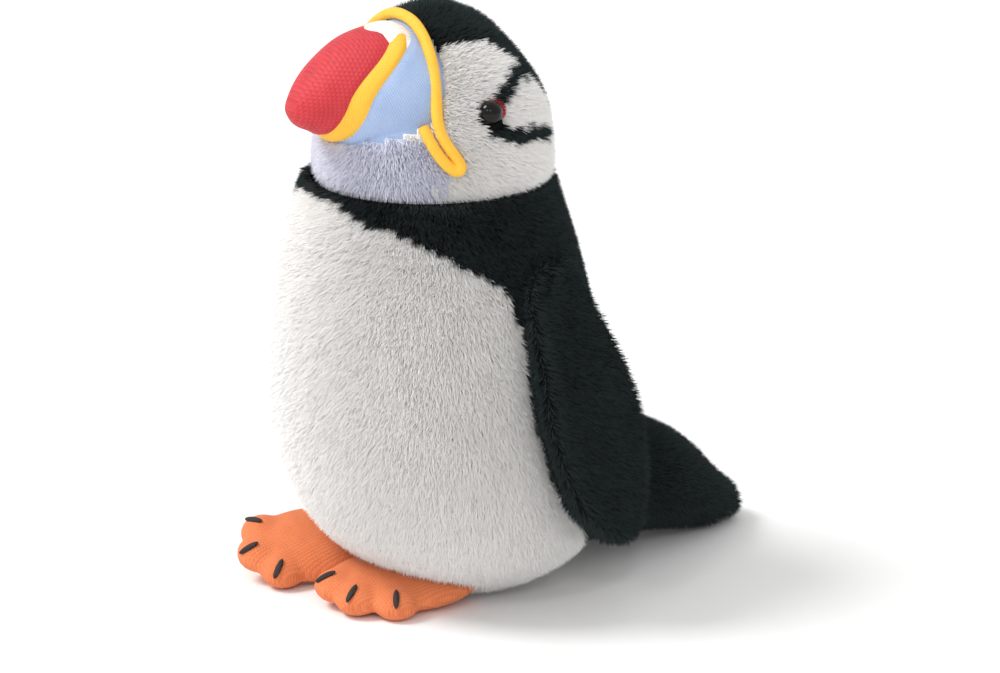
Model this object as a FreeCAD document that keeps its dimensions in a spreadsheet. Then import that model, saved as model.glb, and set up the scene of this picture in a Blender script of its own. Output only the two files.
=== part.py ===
"""Small plush puffin that sits on a flat base: pile skin panels over fibre stuffing,
a bag of pellets low in the body, a fabric beak, bead eyes, flat wings, a stuffed tail
and two knitted feet. Millimetres, +Z up, the bird faces -Y, its left side is +X.
The origin is the centre of the flat base."""
import FreeCAD, Part
from Sketcher import Constraint
import math
import os

Vector = FreeCAD.Vector
Rotation = FreeCAD.Rotation
Placement = FreeCAD.Placement

AXIS_X = Vector(1, 0, 0)
AXIS_Y = Vector(0, 1, 0)
AXIS_Z = Vector(0, 0, 1)

doc = FreeCAD.newDocument("plush_puffin")
sheet = doc.addObject("Spreadsheet::Sheet", "Sizes")

# ---------------------------------------------------------------- driving dimensions
SIZES = {
    # skins and clearances
    "skin": 1.2,
    "bag_wall": 0.6,
    "clearance": 0.35,
    "limb_clearance": 1.1,
    # body: height, fore-and-aft centre and radius of each round section
    "body_height_1": 0.0, "body_centre_1": 0.0, "body_radius_1": 13.0,
    "body_height_2": 4.0, "body_centre_2": 2.8, "body_radius_2": 25.0,
    "body_height_3": 12.0, "body_centre_3": 4.0, "body_radius_3": 34.0,
    "body_height_4": 26.0, "body_centre_4": 1.7, "body_radius_4": 39.4,
    "body_height_5": 46.0, "body_centre_5": -2.0, "body_radius_5": 40.7,
    "body_height_6": 66.0, "body_centre_6": -4.0, "body_radius_6": 39.0,
    "body_height_7": 86.0, "body_centre_7": -5.0, "body_radius_7": 35.3,
    "body_height_8": 106.0, "body_centre_8": -4.8, "body_radius_8": 29.0,
    # base seam, and the side-view line where the white belly meets the dark back
    "base_seam_height": 5.0,
    "belly_top_y": -35.0, "belly_top_height": 97.0,
    "shoulder_y": -3.0, "shoulder_height": 85.0,
    "flank_y": 0.5, "flank_height": 50.0,
    "hip_y": 7.0, "hip_height": 30.0,
    "rump_y": 21.0,
    # neck: the ridge that the head nods on, and the slope that leaves it room
    "neck_axis_y": -5.0,
    "neck_ridge_height": 101.7,
    "neck_slope": 9.5,
    # head: height above the neck seam and radius of each round section
    "head_centre": -3.3,
    "head_height_1": 0.0, "head_radius_1": 28.0,
    "head_height_2": 8.0, "head_radius_2": 27.8,
    "head_height_3": 17.0, "head_radius_3": 26.2,
    "head_height_4": 26.0, "head_radius_4": 21.2,
    "head_height_5": 33.0, "head_radius_5": 15.3,
    "head_height_6": 38.0, "head_radius_6": 8.8,
    "head_height_7": 40.5, "head_radius_7": 2.5,
    "crown_half_width": 13.5,
    "crown_front": 14.0,
    "crown_brow_height": 29.0,
    "chin_depth": 7.0,
    "chin_height": 10.0,
    # beak: distance ahead of the head's axis, height above the neck seam, half sizes
    "beak_tilt": 18.0,
    "beak_root_reach": 11.1, "beak_root_height": 20.3,
    "beak_base_reach": 17.7, "beak_base_height": 22.7, "beak_base_radius": 17.3,
    "beak_reach_1": 25.4, "beak_height_1": 24.3, "beak_tall_1": 13.1, "beak_wide_1": 10.6,
    "beak_reach_2": 31.4, "beak_height_2": 23.8, "beak_tall_2": 9.6, "beak_wide_2": 7.6,
    "beak_reach_3": 35.9, "beak_height_3": 21.8, "beak_tall_3": 5.6, "beak_wide_3": 4.4,
    "beak_reach_4": 38.2, "beak_height_4": 20.8, "beak_tall_4": 2.8, "beak_wide_4": 2.2,
    "band_back_reach": 21.6,
    "band_front_reach": 25.4,
    # gape piping round the root of the beak
    "piping_radius": 1.5,
    "piping_reach": 14.2, "piping_height": 21.4, "piping_sweep": 250.0,
    "rosette_long": 5.6, "rosette_thick": 2.2,
    "rosette_azimuth": -17.0, "rosette_height": 9.0, "rosette_slant": 20.0,
    # eyes
    "eye_radius": 3.0, "eye_back_angle": -30.0,
    "eye_azimuth": 2.7, "eye_lift": 30.0, "eye_ray_height": 5.7,
    "felt_radius": 4.0, "felt_thickness": 0.8,
    "shank_radius": 1.2, "shank_length": 8.0,
    "washer_radius": 5.0, "washer_thickness": 1.6,
    # pellet bag low in the body
    "bag_height": 22.0, "bag_radius": 24.0, "bag_half_height": 14.0,
    # wings: flat pads that hang from the shoulders
    "wing_azimuth": 30.0, "wing_splay": 9.4,
    "wing_panel": 1.2, "wing_batting": 4.0,
    "wing_corner": 8.0, "wing_seam": 1.2,
    "wing_top": 74.5,
    "wing_root_front": -12.3, "wing_root_back": -6.3,
    "wing_front_s": -12.3, "wing_front_drop": 26.0,
    "wing_low_front_s": -6.3, "wing_low_front_drop": 48.0,
    "wing_tip_s": 0.7, "wing_tip_drop": 56.0,
    "wing_low_back_s": 4.7, "wing_low_back_drop": 48.0,
    "wing_back_s": 5.7, "wing_back_drop": 36.0,
    # tail: distance behind the base centre, height, half width and half height
    "tail_y_1": 30.0, "tail_height_1": 19.5, "tail_wide_1": 18.5, "tail_tall_1": 15.0,
    "tail_y_2": 46.0, "tail_height_2": 19.0, "tail_wide_2": 17.5, "tail_tall_2": 14.0,
    "tail_y_3": 58.0, "tail_height_3": 17.0, "tail_wide_3": 16.4, "tail_tall_3": 13.0,
    "tail_y_4": 69.0, "tail_height_4": 12.4, "tail_wide_4": 13.2, "tail_tall_4": 10.4,
    "tail_y_5": 79.0, "tail_height_5": 6.1, "tail_wide_5": 8.0, "tail_tall_5": 5.7,
    "tail_y_6": 85.0, "tail_height_6": 3.7, "tail_wide_6": 4.2, "tail_tall_6": 3.0,
    "tail_seam_root": 22.0, "tail_seam_tip": 4.0,
    # feet: one size, each with its own stance
    "foot_half_width": 11.8, "foot_half_length": 20.0, "foot_half_thickness": 4.3,
    "left_foot_x": 9.6, "left_foot_y": -18.2, "left_foot_z": 4.6,
    "left_foot_yaw": -23.5, "left_foot_roll": 10.0, "left_foot_toes": 38.0,
    "right_foot_x": -16.4, "right_foot_y": -27.2, "right_foot_z": 6.7,
    "right_foot_yaw": -20.0, "right_foot_roll": 25.0, "right_foot_toes": 8.0,
    "claw_half_length": 2.9, "claw_half_width": 0.8, "claw_spread": 38.0, "claw_reach": 0.86,
}

# room left round the object by the tool solids that split it
MARGIN = 200.0
# how far a tool solid runs past an end face that it trims
OVERRUN = 9.0
# first guess of a sketch's corners, before its driving distances place them
SKETCH_RADIUS = 10.0
# where the head's round sections and the piping start, clear of the eyes and the middle plane
HEAD_RING_START = 60.0
PIPING_START = -35.0


def write_sheet():
    """Put every driving dimension in the sheet, with its name as alias."""
    for row, (name, value) in enumerate(SIZES.items(), start=1):
        sheet.set("A%d" % row, name)
        sheet.set("B%d" % row, str(value))
        sheet.setAlias("B%d" % row, name)
    doc.recompute()


def size(name):
    """A driving dimension as a number, read from the sheet."""
    return float(sheet.get(name))


def bind(item, **rules):
    """Bind properties of a document object to expressions in the sheet's names."""
    for prop, rule in rules.items():
        item.setExpression(prop.replace("__", "."), rule)


def cell(name):
    return "Sizes." + name


# ---------------------------------------------------------------- building blocks
def ring(name, radius, y, z, start=0.0):
    """A horizontal circle, bound to the sheet, that starts at an azimuth."""
    item = doc.addObject("Part::Circle", name)
    item.Placement = Placement(Vector(), Rotation(AXIS_Z, start))
    bind(item, Radius=radius, Placement__Base__y=y, Placement__Base__z=z)
    return item


def oval(name, major, minor, y, z, turn):
    """An ellipse with its own fixed turn."""
    item = doc.addObject("Part::Ellipse", name)
    item.Placement = Placement(Vector(), turn)
    bind(item, MajorRadius=major, MinorRadius=minor,
         Placement__Base__y=y, Placement__Base__z=z)
    return item


def loft(name, sections):
    item = doc.addObject("Part::Loft", name)
    item.Sections = sections
    item.Solid = True
    item.Ruled = False
    return item


def cut(name, base, tool):
    item = doc.addObject("Part::Cut", name)
    item.Base = base
    item.Tool = tool
    return item


def common(name, *shapes):
    item = doc.addObject("Part::MultiCommon", name)
    item.Shapes = list(shapes)
    return item


def fuse(name, *shapes):
    item = doc.addObject("Part::MultiFuse", name)
    item.Shapes = list(shapes)
    return item


def mirror(name, source):
    """The right-hand twin of a left-hand piece."""
    item = doc.addObject("Part::Mirroring", name)
    item.Source = source
    item.Normal = AXIS_X
    return item


def block(name, low, high):
    """A fixed box between two corners, used to split other solids."""
    item = doc.addObject("Part::Box", name)
    item.Length = high[0] - low[0]
    item.Width = high[1] - low[1]
    item.Height = high[2] - low[2]
    item.Placement = Placement(Vector(*low), Rotation())
    return item


def outline(name, points, placement):
    """A closed sketch through points, each held by two driving distances."""
    sketch = doc.addObject("Sketcher::SketchObject", name)
    sketch.Placement = placement
    doc.recompute()
    count = len(points)
    places = []
    for i in range(count):
        angle = 2 * math.pi * i / count
        places.append(Vector(SKETCH_RADIUS * math.cos(angle), SKETCH_RADIUS * math.sin(angle), 0))
    for i in range(count):
        sketch.addGeometry(Part.LineSegment(places[i], places[(i + 1) % count]), False)
    for i in range(count):
        sketch.addConstraint(Constraint("Coincident", i, 2, (i + 1) % count, 1))
    for i, (across, up) in enumerate(points):
        for kind, rule in (("DistanceX", across), ("DistanceY", up)):
            index = sketch.addConstraint(Constraint(kind, -1, 1, i, 1, 1.0))
            sketch.setExpression("Constraints[%d]" % index, rule)
    return sketch


def prism(name, points, half_width):
    """A side-view outline (y, z) swept across the whole width of the object."""
    side_view = Placement(Vector(), Rotation(Vector(1, 1, 1), 120))
    sketch = outline(name + "_outline", points, side_view)
    item = doc.addObject("Part::Extrusion", name)
    item.Base = sketch
    item.DirMode = "Normal"
    item.Solid = True
    item.Symmetric = True
    item.LengthFwd = 2 * half_width
    return item


pieces = []


def keep(item, label):
    """Name a finished sub-part, which is written to its own file."""
    item.Label = label
    pieces.append(item)
    return item


# ---------------------------------------------------------------- tool solids
def half_spaces():
    left = block("left_half", (0, -MARGIN, -MARGIN), (MARGIN, MARGIN, MARGIN))
    right = block("right_half", (-MARGIN, -MARGIN, -MARGIN), (0, MARGIN, MARGIN))
    return {"left": left, "right": right}


# ---------------------------------------------------------------- body
def body_loft(name, grow):
    """The body's outer shape, grown or shrunk all round by an expression."""
    rings = []
    for i in range(1, 9):
        radius = "%s %s" % (cell("body_radius_%d" % i), grow)
        rings.append(ring("%s_ring_%d" % (name, i), radius,
                          cell("body_centre_%d" % i), cell("body_height_%d" % i)))
    return loft(name, rings)


def make_body(halves):
    outer = body_loft("body_outer", "")
    inner = body_loft("body_inner", "- " + cell("skin"))
    shell = cut("body_shell", outer, inner)

    slope = "tan(%s * 1 deg)" % cell("neck_slope")
    ridge = cell("neck_ridge_height")
    fall = "%s - %g * %s" % (ridge, MARGIN, slope)
    axis_y = cell("neck_axis_y")
    torso_space = prism("torso_space", [
        (axis_y + " - %g" % MARGIN, "-%g" % MARGIN),
        (axis_y + " + %g" % MARGIN, "-%g" % MARGIN),
        (axis_y + " + %g" % MARGIN, fall),
        (axis_y, ridge),
        (axis_y + " - %g" % MARGIN, fall)], MARGIN)
    neck_space = prism("neck_space", [
        ("-%g" % MARGIN, ridge + " + " + cell("clearance")),
        ("%g" % MARGIN, ridge + " + " + cell("clearance")),
        ("%g" % MARGIN, "%s + %g" % (cell("body_height_8"), OVERRUN)),
        ("-%g" % MARGIN, "%s + %g" % (cell("body_height_8"), OVERRUN))], MARGIN)
    base_space = prism("base_space", [
        ("-%g" % MARGIN, "-%g" % MARGIN),
        ("%g" % MARGIN, "-%g" % MARGIN),
        ("%g" % MARGIN, cell("base_seam_height")),
        ("-%g" % MARGIN, cell("base_seam_height"))], MARGIN)
    belly_space = prism("belly_space", [
        ("-%g" % MARGIN, cell("base_seam_height")),
        (cell("rump_y"), cell("base_seam_height")),
        (cell("hip_y"), cell("hip_height")),
        (cell("flank_y"), cell("flank_height")),
        (cell("shoulder_y"), cell("shoulder_height")),
        (cell("belly_top_y"), cell("belly_top_height")),
        ("-%g" % MARGIN, cell("belly_top_height"))], MARGIN)

    floor_slab = doc.addObject("Part::Box", "base_slab")
    floor_slab.Length = 2 * MARGIN
    floor_slab.Width = 2 * MARGIN
    floor_slab.Placement = Placement(Vector(-MARGIN, -MARGIN, 0), Rotation())
    bind(floor_slab, Height=cell("skin"))
    inner_core = cut("body_core", inner, floor_slab)
    base_disc = common("base_disc", inner, floor_slab)

    torso_shell = common("torso_shell", shell, torso_space)
    base_ring = common("base_ring", torso_shell, base_space)
    keep(fuse("base_panel_piece", base_ring, base_disc), "base_panel")
    side_shell = cut("side_shell", torso_shell, base_space)
    belly_shell = common("belly_shell", side_shell, belly_space)
    back_shell = cut("back_shell", side_shell, belly_space)
    for side, half in halves.items():
        keep(common("belly_%s_piece" % side, belly_shell, half), "belly_panel_" + side)
        keep(common("back_%s_piece" % side, back_shell, half), "back_panel_" + side)

    bag = pellet_solid("pellet_bag_outer", "")
    fill = pellet_solid("pellet_fill", "- " + cell("bag_wall"))
    keep(cut("pellet_bag_piece", bag, fill), "pellet_bag")
    keep(fill, "pellets")
    torso_core = common("torso_core", inner_core, torso_space)
    keep(cut("body_stuffing_piece", torso_core, bag), "body_stuffing")

    keep(common("neck_collar_piece", shell, neck_space), "neck_collar")
    keep(common("neck_stuffing_piece", inner, neck_space), "neck_stuffing")
    return outer


def pellet_solid(name, grow):
    """The pellet bag's rounded shape, grown or shrunk all round."""
    item = doc.addObject("Part::Ellipsoid", name)
    bind(item,
         Radius1="%s %s" % (cell("bag_half_height"), grow),
         Radius2="%s %s" % (cell("bag_radius"), grow),
         Radius3="%s %s" % (cell("bag_radius"), grow),
         Placement__Base__z=cell("bag_height"))
    return item


# ---------------------------------------------------------------- head
def head_z(name):
    """Height of a place on the head, given above the neck seam."""
    return "%s + %s + %s" % (cell("body_height_8"), cell("clearance"), cell(name))


def head_loft(name, grow):
    rings = []
    for i in range(1, 8):
        radius = "%s %s" % (cell("head_radius_%d" % i), grow)
        rings.append(ring("%s_ring_%d" % (name, i), radius,
                          cell("head_centre"), head_z("head_height_%d" % i), HEAD_RING_START))
    return loft(name, rings)


def head_inner_loft():
    """The hollow inside the head's skin: smaller all round and lower at the crown."""
    rings = []
    for i in range(1, 7):
        radius = "%s - %s" % (cell("head_radius_%d" % i), cell("skin"))
        rings.append(ring("head_inner_ring_%d" % i, radius,
                          cell("head_centre"), head_z("head_height_%d" % i), HEAD_RING_START))
    return loft("head_inner", rings)


def beak_section(name, tall, wide, reach, height):
    turn = Rotation(AXIS_X, 90 - size("beak_tilt")) * Rotation(AXIS_Z, 90)
    y = "%s - %s" % (cell("head_centre"), cell(reach))
    return oval(name, tall, wide, y, head_z(height), turn)


def beak_loft(name, grow):
    """The beak from inside the head to its blunt tip."""
    base = "%s %s" % (cell("beak_base_radius"), grow)
    sections = [beak_section(name + "_root", base, base, "beak_root_reach", "beak_root_height"),
                beak_section(name + "_base", base, base, "beak_base_reach", "beak_base_height")]
    for i in range(1, 5):
        tall = "%s %s" % (cell("beak_tall_%d" % i), grow)
        wide = "%s %s" % (cell("beak_wide_%d" % i), grow)
        sections.append(beak_section("%s_part_%d" % (name, i), tall, wide,
                                     "beak_reach_%d" % i, "beak_height_%d" % i))
    return loft(name, sections)


def beak_slice(name, back, front):
    """The slab of space between two tilted seam planes of the beak."""
    tilt = "tan(%s * 1 deg)" % cell("beak_tilt")
    middle = head_z("beak_base_height")
    rise = "%g * %s" % (MARGIN, tilt)
    points = []
    for place in (back, front):
        points.append(("%s - %s + %s" % (cell("head_centre"), place, rise),
                       "%s + %g" % (middle, MARGIN)))
        points.append(("%s - %s - %s" % (cell("head_centre"), place, rise),
                       "%s - %g" % (middle, MARGIN)))
    return prism(name, [points[0], points[1], points[3], points[2]], MARGIN)


def make_head(halves):
    outer = head_loft("head_outer", "")
    inner = head_inner_loft()
    beak_outer = beak_loft("beak_outer", "")
    beak_inner = beak_loft("beak_inner", "- " + cell("skin"))

    shell = cut("head_shell", outer, inner)
    open_shell = cut("head_open_shell", shell, beak_inner)
    below = "%s - %g" % (head_z("head_height_1"), OVERRUN)
    above = "%s + %g" % (head_z("head_height_7"), OVERRUN)
    crown_side = prism("crown_space_side", [
        ("%s - %s" % (cell("head_centre"), cell("crown_front")), head_z("crown_brow_height")),
        (cell("head_centre"), head_z("head_height_4")),
        (cell("head_centre"), below),
        ("%g" % MARGIN, below),
        ("%g" % MARGIN, above),
        ("%s - %s" % (cell("head_centre"), cell("crown_front")), above)], MARGIN)
    strip = doc.addObject("Part::Box", "crown_strip")
    strip.Width = 2 * MARGIN
    strip.Height = 2 * MARGIN
    strip.Placement = Placement(Vector(0, -MARGIN, -MARGIN), Rotation())
    bind(strip, Length="2 * " + cell("crown_half_width"),
         Placement__Base__x="-" + cell("crown_half_width"))
    crown_space = common("crown_space", crown_side, strip)
    chin_space = prism("chin_space", [
        ("-%g" % MARGIN, below),
        ("%s - %s" % (cell("head_centre"), cell("chin_depth")), below),
        ("%s - %s" % (cell("head_centre"), cell("chin_depth")), head_z("chin_height")),
        ("-%g" % MARGIN, head_z("chin_height"))], MARGIN)
    keep(common("crown_piece", open_shell, crown_space), "crown_panel")
    keep(common("chin_piece", open_shell, chin_space), "chin_panel")
    side_space = fuse("crown_and_chin_space", crown_space, chin_space)
    side_shell = cut("cheek_shell", open_shell, side_space)

    beak_shell = cut("beak_shell", beak_outer, beak_inner)
    beak_skin = cut("beak_skin", beak_shell, outer)
    band_back = cell("band_back_reach")
    band_front = cell("band_front_reach")
    far = "%g" % MARGIN
    parts = {
        "beak_base": beak_slice("beak_base_space", "-" + far, band_back),
        "beak_band": beak_slice("beak_band_space", band_back, band_front),
        "beak_tip": beak_slice("beak_tip_space", band_front, far),
    }
    for label, space in parts.items():
        for side, half in halves.items():
            keep(common("%s_%s_piece" % (label, side), beak_skin, space, half),
                 "%s_%s" % (label, side))
    keep(cut("beak_stuffing_piece", beak_inner, inner), "beak_stuffing")

    make_piping(outer, beak_outer)
    make_eyes(outer, inner, side_shell, halves)


def make_piping(head_outer, beak_outer):
    """The cord-like roll round the root of the beak, with a folded loop at each corner."""
    roll = doc.addObject("Part::Torus", "piping_roll")
    upright = Rotation(AXIS_X, 90 - size("beak_tilt"))
    roll.Placement = Placement(Vector(), upright * Rotation(AXIS_Z, PIPING_START))
    bind(roll,
         Radius1="%s + %s" % (cell("beak_base_radius"), cell("piping_radius")),
         Radius2=cell("piping_radius"), Angle3=cell("piping_sweep"),
         Placement__Base__y="%s - %s" % (cell("head_centre"), cell("piping_reach")),
         Placement__Base__z=head_z("piping_height"))
    solids = fuse("head_and_beak", head_outer, beak_outer)
    keep(cut("gape_piping_piece", roll, solids), "gape_piping")

    doc.recompute()
    azimuth = math.radians(size("rosette_azimuth"))
    out = Vector(math.cos(azimuth), math.sin(azimuth), 0)
    start = Vector(0, size("head_centre"), head_seam() + size("rosette_height"))
    seat = start + out * ray_length(head_outer, start, out)
    loop = doc.addObject("Part::Ellipsoid", "rosette_solid")
    bind(loop, Radius1=cell("rosette_long"), Radius2=cell("rosette_thick"), Radius3=cell("rosette_thick"))
    slant = Rotation(out, -size("rosette_slant"))
    loop.Placement = Placement(seat, slant)
    left = keep(cut("rosette_left_piece", loop, head_outer), "gape_rosette_left")
    keep(mirror("rosette_right_piece", left), "gape_rosette_right")


def head_seam():
    return size("body_height_8") + size("clearance")


def ray_length(item, start, direction):
    """How far a ray from inside a solid runs before it leaves it."""
    ray = Part.makeLine(start, start + direction * MARGIN)
    return ray.common(item.Shape).Length


def make_eyes(head_outer, head_inner, cheek_shell, halves):
    """Bead eyes: a domed bead on a felt disc, its shank locked by a washer inside."""
    azimuth = math.radians(size("eye_azimuth"))
    lift = math.radians(size("eye_lift"))
    out = Vector(math.cos(azimuth) * math.cos(lift), math.sin(azimuth) * math.cos(lift), math.sin(lift))
    start = Vector(0, size("head_centre"), head_seam() + size("eye_ray_height"))
    outer_seat = start + out * ray_length(head_outer, start, out)
    inner_seat = start + out * ray_length(head_inner, start, out)
    turn = Rotation(AXIS_Z, out)
    felt_top = outer_seat + out * size("felt_thickness")

    felt = doc.addObject("Part::Cylinder", "felt_disc")
    bind(felt, Radius=cell("felt_radius"), Height="%s + 2 * %s" % (cell("felt_thickness"), cell("skin")))
    felt.Placement = Placement(felt_top - out * (size("felt_thickness") + 2 * size("skin")), turn)

    dome_back = size("eye_radius") * math.sin(math.radians(-size("eye_back_angle")))
    dome = doc.addObject("Part::Sphere", "eye_dome")
    bind(dome, Radius=cell("eye_radius"), Angle1=cell("eye_back_angle"))
    dome.Placement = Placement(felt_top + out * dome_back, turn)
    shank = doc.addObject("Part::Cylinder", "eye_shank")
    bind(shank, Radius=cell("shank_radius"), Height=cell("shank_length"))
    shank.Placement = Placement(felt_top - out * size("shank_length"), turn)
    eye = keep(fuse("eye_left_piece", dome, shank), "eye_left")

    disc = doc.addObject("Part::Cylinder", "washer_disc")
    bind(disc, Radius=cell("washer_radius"), Height=cell("washer_thickness"))
    washer_back = inner_seat - out * (size("washer_thickness") + size("skin"))
    disc.Placement = Placement(washer_back, turn)
    washer = keep(cut("washer_left_piece", disc, shank), "eye_washer_left")

    felt_ring = cut("felt_ring", felt, shank)
    felt_left = keep(cut("felt_left_piece", felt_ring, head_outer), "eye_felt_left")
    for name, label, source in (("eye_right_piece", "eye_right", eye),
                                ("washer_right_piece", "eye_washer_right", washer),
                                ("felt_right_piece", "eye_felt_right", felt_left)):
        keep(mirror(name, source), label)

    left_tool = fuse("eye_tool_left", shank, disc)
    right_tool = mirror("eye_tool_right", left_tool)
    tools = fuse("eye_tools", left_tool, right_tool)
    keep(cut("head_stuffing_piece", head_inner, tools), "head_stuffing")
    pierced = cut("cheek_pierced", cheek_shell, tools)
    for side, half in halves.items():
        keep(common("cheek_%s_piece" % side, pierced, half), "cheek_panel_" + side)


# ---------------------------------------------------------------- wings
def support(item, direction):
    """How far a solid reaches from the origin in a direction."""
    shape = item.Shape.copy()
    shape.Placement = Placement(Vector(), Rotation(direction, AXIS_X)) * shape.Placement
    return shape.optimalBoundingBox().XMax


def make_wings(body_outer):
    """Flat pads of two panels with batting between, laid against the flanks."""
    azimuth = size("wing_azimuth")
    splay = size("wing_splay")
    turn = Rotation(AXIS_Z, azimuth) * Rotation(AXIS_Y, -splay) * Rotation(Vector(1, 1, 1), 120)
    normal = turn.multVec(AXIS_Z)
    plane = support(body_outer, normal) + size("clearance")
    top = cell("wing_top")
    points = [(cell("wing_root_front"), top), (cell("wing_front_s"), top + " - " + cell("wing_front_drop"))]
    for name in ("low_front", "tip", "low_back", "back"):
        points.append((cell("wing_%s_s" % name), "%s - %s" % (top, cell("wing_%s_drop" % name))))
    points.append((cell("wing_root_back"), top))
    layers = (("inner", "wing_panel", 0.0, "0"),
              ("batting", "wing_batting", size("wing_panel"), cell("wing_seam")),
              ("outer", "wing_panel", size("wing_panel") + size("wing_batting"), "0"))
    for layer, thickness, start, inset in layers:
        placement = Placement(normal * (plane + start), turn)
        skeleton = outline("wing_%s_skeleton" % layer, points, placement)
        edge = doc.addObject("Part::Offset2D", "wing_%s_edge" % layer)
        edge.Source = skeleton
        edge.Join = "Arc"
        bind(edge, Value="%s - %s" % (cell("wing_corner"), inset))
        pad = doc.addObject("Part::Extrusion", "wing_%s_pad" % layer)
        pad.Base = edge
        pad.DirMode = "Custom"
        pad.Dir = normal
        pad.Solid = True
        bind(pad, LengthFwd=cell(thickness))
        label = "wing_batting" if layer == "batting" else "wing_%s_panel" % layer
        keep(pad, label + "_left")
        keep(mirror("wing_%s_twin" % layer, pad), label + "_right")


# ---------------------------------------------------------------- tail
def tail_loft(name, grow):
    upright = Rotation(AXIS_X, 90)
    ovals = []
    for i in range(1, 7):
        ovals.append(oval("%s_oval_%d" % (name, i),
                          "%s %s" % (cell("tail_wide_%d" % i), grow),
                          "%s %s" % (cell("tail_tall_%d" % i), grow),
                          cell("tail_y_%d" % i), cell("tail_height_%d" % i), upright))
    return loft(name, ovals)


def make_tail(body_clear):
    outer = tail_loft("tail_outer", "")
    inner = tail_loft("tail_inner", "- " + cell("skin"))
    tip_slab = doc.addObject("Part::Box", "tail_tip_slab")
    tip_slab.Length = 2 * MARGIN
    tip_slab.Width = MARGIN
    tip_slab.Height = 2 * MARGIN
    tip_slab.Placement = Placement(Vector(-MARGIN, 0, -MARGIN), Rotation())
    bind(tip_slab, Placement__Base__y="%s - %s" % (cell("tail_y_6"), cell("skin")))
    hollow = cut("tail_hollow", inner, tip_slab)
    above = prism("tail_top_space", [
        ("0", cell("tail_seam_root")),
        ("%s + %g" % (cell("tail_y_6"), OVERRUN), cell("tail_seam_tip")),
        ("%s + %g" % (cell("tail_y_6"), OVERRUN), "%g" % MARGIN),
        ("0", "%g" % MARGIN)], MARGIN)
    skin = cut("tail_skin", cut("tail_shell", outer, hollow), body_clear)
    keep(common("tail_top_piece", skin, above), "tail_top_panel")
    keep(cut("tail_bottom_piece", skin, above), "tail_bottom_panel")
    keep(cut("tail_stuffing_piece", hollow, body_clear), "tail_stuffing")


# ---------------------------------------------------------------- feet
def foot_pad(name, side, grow):
    """A cushion-shaped foot in its own stance."""
    item = doc.addObject("Part::Ellipsoid", name)
    turn = Rotation(AXIS_Z, size(side + "_foot_yaw")) * Rotation(AXIS_Y, size(side + "_foot_roll"))
    item.Placement = Placement(Vector(), turn)
    bind(item,
         Radius1="%s %s" % (cell("foot_half_thickness"), grow),
         Radius2="%s %s" % (cell("foot_half_width"), grow),
         Radius3="%s %s" % (cell("foot_half_length"), grow),
         Placement__Base__x=cell(side + "_foot_x"),
         Placement__Base__y=cell(side + "_foot_y"),
         Placement__Base__z=cell(side + "_foot_z"))
    return item, turn


def make_foot(side, body_clear, floor):
    """A foot of two knit panels over stuffing, with three claws stitched into its top."""
    outer, turn = foot_pad(side + "_foot_outer", side, "")
    inner, turn = foot_pad(side + "_foot_inner", side, "- " + cell("skin"))
    centre = Vector(size(side + "_foot_x"), size(side + "_foot_y"), size(side + "_foot_z"))
    upper_space = doc.addObject("Part::Box", side + "_foot_upper_space")
    upper_space.Length = 2 * MARGIN
    upper_space.Width = 2 * MARGIN
    upper_space.Height = MARGIN
    corner = centre + turn.multVec(Vector(-MARGIN, -MARGIN, 0))
    upper_space.Placement = Placement(corner, turn)

    solid = cut(side + "_foot_solid", outer, floor)
    sole_lift = doc.addObject("Part::Box", side + "_foot_sole_slab")
    sole_lift.Length = 2 * MARGIN
    sole_lift.Width = 2 * MARGIN
    sole_lift.Placement = Placement(Vector(-MARGIN, -MARGIN, -MARGIN), Rotation())
    bind(sole_lift, Height="%g + %s" % (MARGIN, cell("skin")))
    core = cut(side + "_foot_core", inner, sole_lift)
    clear_solid = cut(side + "_foot_clear", solid, body_clear)
    clear_core = keep(cut(side + "_foot_fill", core, body_clear), "foot_stuffing_" + side)
    skin = cut(side + "_foot_skin", clear_solid, clear_core)
    upper = common(side + "_foot_upper_blank", skin, upper_space)
    keep(cut(side + "_foot_sole_piece", skin, upper_space), "foot_sole_" + side)

    claws = []
    for i, spread in enumerate((-1, 0, 1)):
        angle = math.radians(size(side + "_foot_toes") + spread * size("claw_spread"))
        reach = size("claw_reach")
        across = math.sin(angle) * size("foot_half_width") * reach
        along = -math.cos(angle) * size("foot_half_length") * reach
        rise = size("foot_half_thickness") * math.sqrt(1 - reach * reach)
        claw = doc.addObject("Part::Ellipsoid", "%s_claw_%d" % (side, i + 1))
        bind(claw, Radius1=cell("claw_half_length"), Radius2=cell("claw_half_width"),
             Radius3=cell("claw_half_width"))
        slope = math.atan(size("foot_half_thickness") * reach
                          / (size("foot_half_length") * math.sqrt(1 - reach * reach)))
        lean = Rotation(AXIS_Z, math.degrees(angle)) * Rotation(AXIS_X, 90 + math.degrees(slope))
        claw.Placement = Placement(centre + turn.multVec(Vector(across, along, rise)), turn * lean)
        claws.append(claw)
    group = doc.addObject("Part::Compound", side + "_claw_group")
    group.Links = claws
    keep(group, "foot_claws_" + side)
    keep(cut(side + "_foot_upper_piece", upper, group), "foot_upper_" + side)


# ---------------------------------------------------------------- build and write
def check_document():
    for item in doc.Objects:
        bad = [word for word in item.State if word in ("Invalid", "Error")]
        if bad:
            raise RuntimeError("%s is %s" % (item.Name, bad))
    for item in pieces:
        shape = item.Shape
        if shape.isNull() or not shape.isValid() or not shape.Solids:
            raise RuntimeError("%s has no valid solid" % item.Label)


def write_parts():
    os.makedirs("parts", exist_ok=True)
    for item in pieces:
        item.Shape.exportStep(os.path.join("parts", item.Label + ".step"))


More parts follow.
